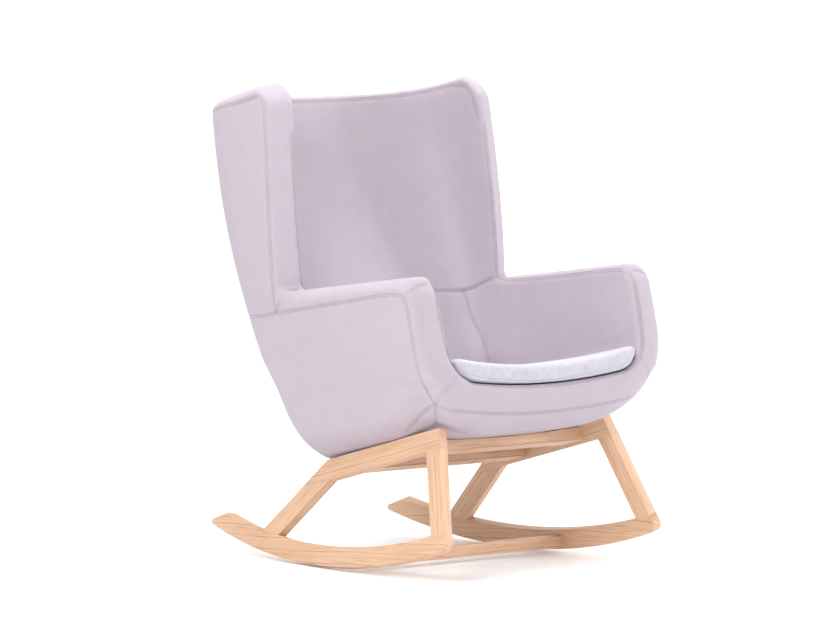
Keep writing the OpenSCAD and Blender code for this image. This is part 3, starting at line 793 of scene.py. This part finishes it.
def own_axes(b):
    """Length, width and thickness directions of a board."""
    area = {}
    for f in b.faces:
        n = f.normal
        for key in area:
            if abs(key.dot(n)) > 0.999:
                area[key] += f.calc_area()
                break
        else:
            area[n.copy().freeze()] = f.calc_area()
    thick = max(area, key=area.get)
    co = np.array([v.co for v in b.verts])
    co = co - co.mean(0)
    t = np.array(thick)
    co = co - np.outer(co @ t, t)
    length = np.linalg.svd(co, full_matrices=False)[2][0]
    length = length / np.linalg.norm(length)
    width = np.cross(t, length)
    return Matrix((length, width, t)).transposed()


def outline_edges(b, thick, others):
    """Sharp edges round the broad faces, without pin holes and without joints to other boards."""
    picked = []
    for e in b.edges:
        if len(e.link_faces) != 2 or e.calc_face_angle(0) < 0.5:
            continue
        if not any(abs(f.normal.dot(thick)) > 0.99 for f in e.link_faces):
            continue
        mid = (e.verts[0].co + e.verts[1].co) / 2
        near = [o.find_nearest(mid, 0.0008) for o in others]
        if any(hit[0] is not None for hit in near):
            continue
        picked.append(e)
    loops = {}
    for e in picked:
        loops.setdefault(e.verts[0], []).append(e)
        loops.setdefault(e.verts[1], []).append(e)
    seen, keep = set(), []
    for start in picked:
        if start in seen:
            continue
        group, stack = [], [start]
        seen.add(start)
        while stack:
            e = stack.pop()
            group.append(e)
            for v in e.verts:
                for f in loops[v]:
                    if f not in seen:
                        seen.add(f)
                        stack.append(f)
        co = np.array([v.co for e in group for v in e.verts])
        if (co.max(0) - co.min(0)).max() > 0.012:
            keep += group
    return keep


meshes = {name: clean_mesh(name) for name in BOARDS}
trees = {name: BVHTree.FromBMesh(b) for name, b in meshes.items()}
for name in BOARDS:
    b = meshes[name]
    axes = own_axes(b)
    others = [trees[o] for o in BOARDS if o != name]
    edges = outline_edges(b, axes.col[2], others)
    bmesh.ops.bevel(b, geom=edges, offset=EDGE * MM, segments=3, profile=0.6, affect="EDGES",
                    clamp_overlap=True)
    centre = sum((v.co for v in b.verts), Vector()) / len(b.verts)
    place = Matrix.Translation(centre) @ axes.to_4x4()
    b.transform(place.inverted())
    me = bpy.data.meshes.new(name + "_ash")
    b.to_mesh(me)
    b.free()
    o = bpy.data.objects.new(name + "_ash", me)
    bpy.context.scene.collection.objects.link(o)
    o.matrix_world = place
    dress(o, ASH)
    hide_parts(name)
    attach(o, "chair")

for name, material in {"leg_dowels": BEECH, "crossbar_dowels": BEECH, "stretcher_dowels": BEECH,
                       "shell_bolts": ZINC, "bolt_washers": ZINC, "t_nuts": ZINC, "rib_screws": ZINC,
                       "seat_board": PLY, "shell_ribs": PRIMER, "back_uprights": PRIMER,
                       "back_hoops": PRIMER}.items():
    dress(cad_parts[name], material)


# ---------------------------------------------------------------- stage, light and camera
CAMERA_AT = Vector((-9.0228, -10.7386, 1.6629))
AZIMUTH, ELEVATION = math.radians(-40), math.radians(4.6735)
BACK = Vector((math.sin(AZIMUTH) * math.cos(ELEVATION), -math.cos(AZIMUTH) * math.cos(ELEVATION),
               math.sin(ELEVATION)))
RIGHT = Vector((math.cos(AZIMUTH), math.sin(AZIMUTH), 0))


def floor_sheet():
    """Floor that curves up into a backdrop behind the chair, as seen by the camera."""
    profile = [(-14, 0), (4, 0)]
    profile += [(4 + 3 * math.sin(a), 3 - 3 * math.cos(a)) for a in np.linspace(0.1, math.pi / 2, 12)]
    profile += [(7, 12)]
    verts, faces = [], []
    for i, (d, z) in enumerate(profile):
        verts += [(-14 * 1000, d * 1000, z * 1000), (14 * 1000, d * 1000, z * 1000)]
        if i:
            faces.append((2 * i - 2, 2 * i - 1, 2 * i + 1, 2 * i))
    o = to_object("floor", verts, faces)
    o.rotation_euler = (0, 0, AZIMUTH)
    n = Nodes("floor_white")
    speck = n.noise(n.coords, 30, 2, 0.5)
    pale = n.ramp(speck, [(0.3, (0.90, 0.90, 0.90)), (0.7, (0.92, 0.92, 0.92))])
    n.finish(pale, 0.75, speck, 0.01, specular=0.2)
    # The sheet glows, which is painted light: faintly on the floor and more strongly up the backdrop, so that
    # the backdrop stays white.
    split = n.add("ShaderNodeSeparateXYZ")
    n.link(n.coords, split.inputs[0])
    height = n.maths("MULTIPLY", split.outputs["Z"], 0.5)
    glow = n.ramp(height, [(0.0, (0.10, 0.10, 0.10)), (0.5, (0.5, 0.5, 0.5))])
    n.link(glow, n.shader.inputs["Emission Color"])
    n.shader.inputs["Emission Strength"].default_value = 1.0
    dress(o, n.mat)
    return o


floor_sheet()


def aimed(o, position, back, right):
    """Stands an object at a position, looking against `back`."""
    up = back.cross(right)
    o.matrix_world = Matrix.Translation(position) @ Matrix((right, up, back)).transposed().to_4x4()


def lamp(name, position, target, size, power):
    """Round area lamp that faces the target."""
    data = bpy.data.lights.new(name, "AREA")
    data.shape = "DISK"
    data.size = size
    data.energy = power
    o = bpy.data.objects.new(name, data)
    bpy.context.scene.collection.objects.link(o)
    position, target = Vector(position), Vector(target)
    back = (position - target).normalized()
    right = Vector((0, 0, 1)).cross(back).normalized()
    aimed(o, position, back, right)
    return o


lamp("key", (-3.6, -1.6, 2.6), (0, 0, 0.6), 2.2, 114)
lamp("front", (-0.6, -4.8, 1.6), (0, 0, 0.5), 2.2, 18)
lamp("right", (4.0, -2.3, 1.5), (0, 0, 0.5), 1.8, 130)
lamp("top", (-0.2, 0.4, 3.6), (0, 0, 0.5), 1.8, 92)
world = bpy.data.worlds.new("studio")
bpy.context.scene.world = world
world.use_nodes = True
world.node_tree.nodes["Background"].inputs["Color"].default_value = (1, 1, 1, 1)
world.node_tree.nodes["Background"].inputs["Strength"].default_value = 0.55

cam_data = bpy.data.cameras.new("camera")
cam_data.sensor_width = 36
cam_data.lens = 284.32
cam_data.clip_end = 100
camera = bpy.data.objects.new("camera", cam_data)
bpy.context.scene.collection.objects.link(camera)
aimed(camera, CAMERA_AT, BACK, RIGHT)
bpy.context.scene.camera = camera
bpy.context.scene.view_settings.view_transform = "Standard"
